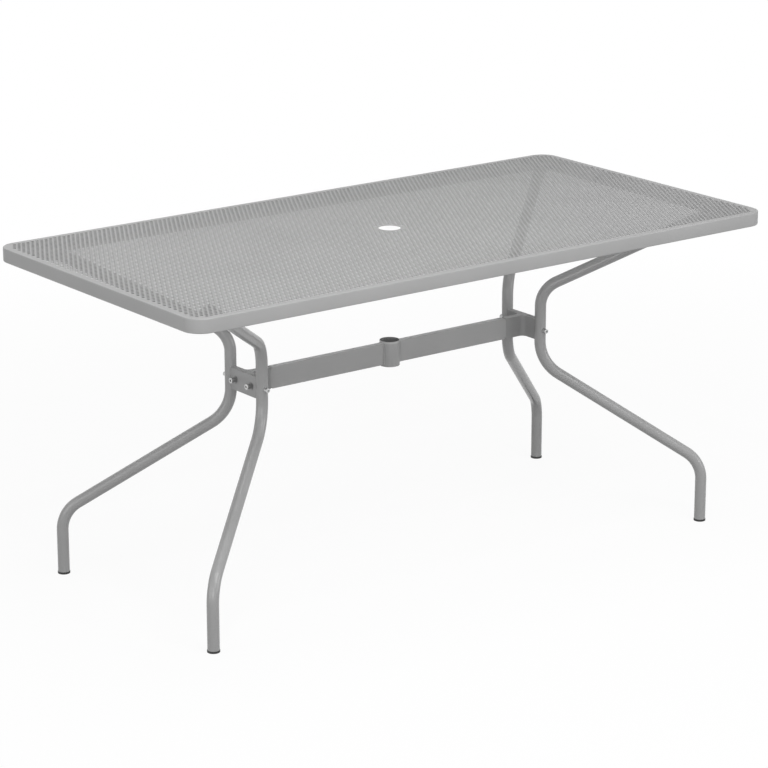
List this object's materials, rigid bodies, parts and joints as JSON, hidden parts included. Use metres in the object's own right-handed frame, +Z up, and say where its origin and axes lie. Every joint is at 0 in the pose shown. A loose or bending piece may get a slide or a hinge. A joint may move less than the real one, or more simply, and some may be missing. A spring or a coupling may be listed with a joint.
{
  "type": "umbrella table",
  "caption": "Rectangular outdoor dining table with a perforated steel top, a deep rim, bent tube legs, a waist stretcher and an umbrella hole over an umbrella tube",
  "frame": {"origin": "on the floor under the middle of the table top", "axes": "+Z up, X along the table's long side, Y across it"},
  "size_m": [1.6, 0.8, 0.77],
  "materials": {
    "grey_coat": "satin grey powder coat with a fine texture",
    "zinc_steel": "bright zinc plated fasteners",
    "black_plastic": "black moulded foot glides"
  },
  "bodies": {
    "root": {"mesh_panel": "grey_coat", "top_rim": "grey_coat", "leg_front_left": "grey_coat", "leg_front_right": "grey_coat", "leg_back_left": "grey_coat", "leg_back_right": "grey_coat", "end_bracket_left": "grey_coat", "end_bracket_right": "grey_coat", "bracket_cover_left": "grey_coat", "bracket_cover_right": "grey_coat", "stretcher_left": "grey_coat", "stretcher_right": "grey_coat", "umbrella_holder": "grey_coat", "leg_bolts": "zinc_steel", "bracket_bolts": "zinc_steel", "top_bolts": "zinc_steel", "glide_front_left": "black_plastic", "glide_front_right": "black_plastic", "glide_back_left": "black_plastic", "glide_back_right": "black_plastic"}
  },
  "joints": []
}
